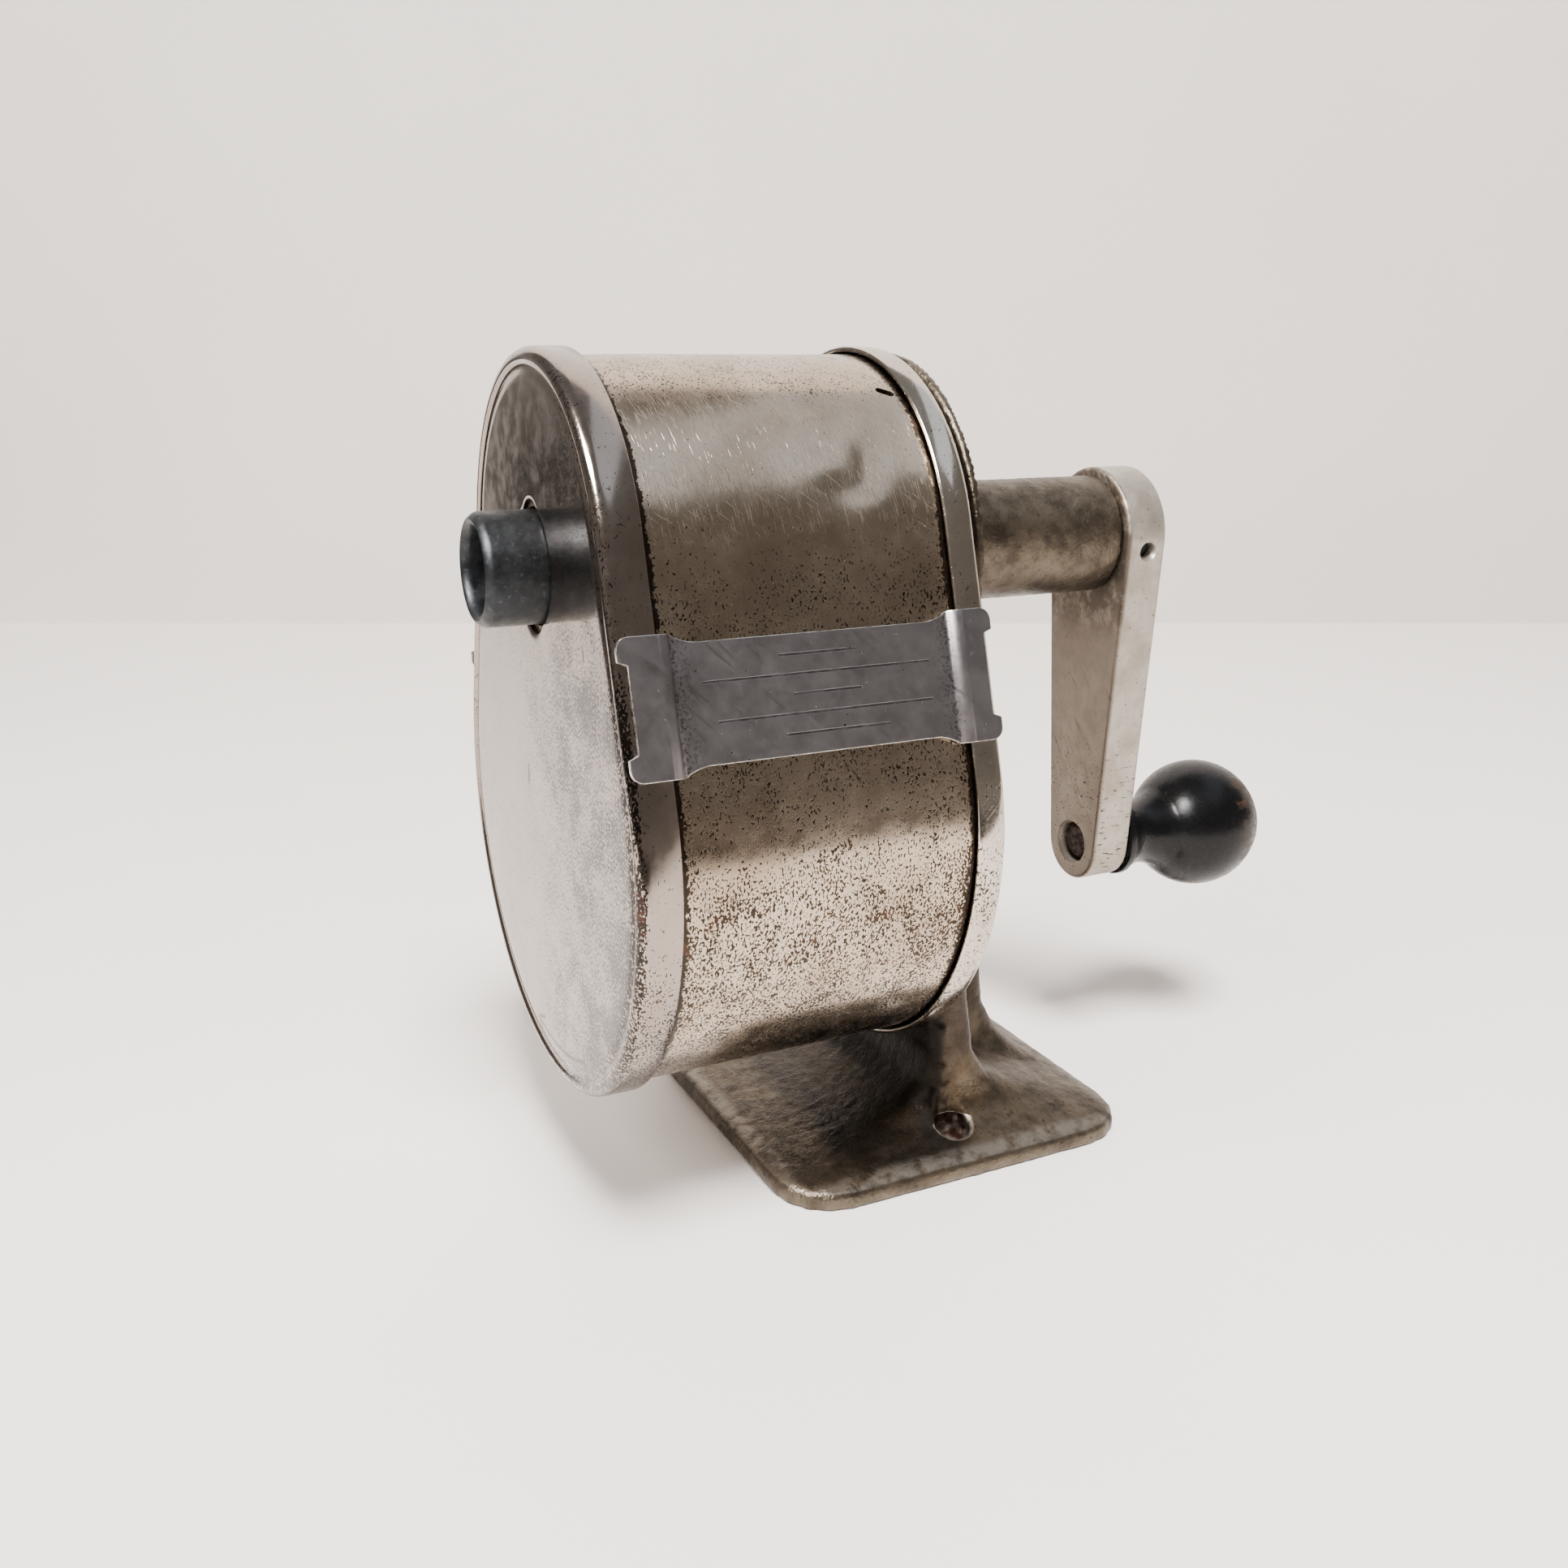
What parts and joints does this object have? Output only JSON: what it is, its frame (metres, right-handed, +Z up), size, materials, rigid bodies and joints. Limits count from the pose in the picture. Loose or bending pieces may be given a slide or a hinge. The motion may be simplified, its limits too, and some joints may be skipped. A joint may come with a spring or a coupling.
{
  "type": "pencil sharpener",
  "caption": "Crank pencil sharpener: cast frame on a square foot, egg-shaped nickelled shavings case that turns and pulls off, rolling milled cutters, black ball knob.",
  "frame": {"origin": "middle of the base's flat underside", "axes": "+Z up, +Y from the pencil guide towards the crank, +X to the right seen from the pencil side"},
  "size_m": [0.0652, 0.1126, 0.0988],
  "materials": {
    "nickel_sheet": "worn nickel plate, pitted with brown specks",
    "cast_metal": "rough casting with dull nickel plate",
    "strap_steel": "dark satin steel",
    "blued_steel": "blued, satin",
    "pale_metal": "pale satin, scratched",
    "bright_steel": "machined",
    "tool_steel": "ground and milled",
    "black_wood": "black lacquer, worn to brown wood"
  },
  "bodies": {
    "frame": {"base_frame": "cast_metal", "ring_gear": "bright_steel"},
    "case_ring": {"spring_ring": "bright_steel"},
    "receptacle": {"front_cap": "nickel_sheet", "drum": "nickel_sheet", "rear_cap": "nickel_sheet", "strap_right": "strap_steel", "strap_left": "strap_steel", "pencil_guide": "blued_steel", "guide_washer": "bright_steel"},
    "crank": {"crank_shaft": "bright_steel", "crank_arm": "pale_metal", "set_screw": "blued_steel", "thrust_washer": "bright_steel", "cutter_carrier": "bright_steel", "cutter_pin_a": "bright_steel", "cutter_pin_b": "bright_steel", "knob_rivet": "bright_steel"},
    "cutter_a": {"cutter_a": "tool_steel", "pinion_a": "bright_steel"},
    "cutter_b": {"cutter_b": "tool_steel", "pinion_b": "bright_steel"},
    "knob": {"knob": "black_wood"}
  },
  "joints": [
    {"name": "crank_turn", "type": "hinge", "parent": "frame", "child": "crank", "pos_m": [0, 0, 0.0751], "axis": [0, 1, 0], "continuous": true},
    {"name": "cutter_a_spin", "type": "hinge", "parent": "crank", "child": "cutter_a", "pos_m": [0, 0.0169, 0.0751], "axis": [-0.1822, 0.9833, 0], "continuous": true},
    {"name": "cutter_b_spin", "type": "hinge", "parent": "crank", "child": "cutter_b", "pos_m": [0, 0.0169, 0.0751], "axis": [0.1822, 0.9833, 0], "continuous": true},
    {"name": "knob_spin", "type": "hinge", "parent": "crank", "child": "knob", "pos_m": [0, 0.0518, 0.032], "axis": [0, 1, 0], "continuous": true},
    {"name": "case_turn", "type": "hinge", "parent": "frame", "child": "case_ring", "pos_m": [0, 0, 0.0751], "axis": [0, 1, 0], "range_deg": [0, 60]},
    {"name": "case_pull", "type": "slide", "parent": "case_ring", "child": "receptacle", "axis": [0, -1, 0], "range_m": [0, 0.055]}
  ],
  "couplings": [
    {"joint": "cutter_a_spin", "follows": "crank_turn", "ratio": -2.2},
    {"joint": "cutter_b_spin", "follows": "crank_turn", "ratio": -2.2}
  ]
}
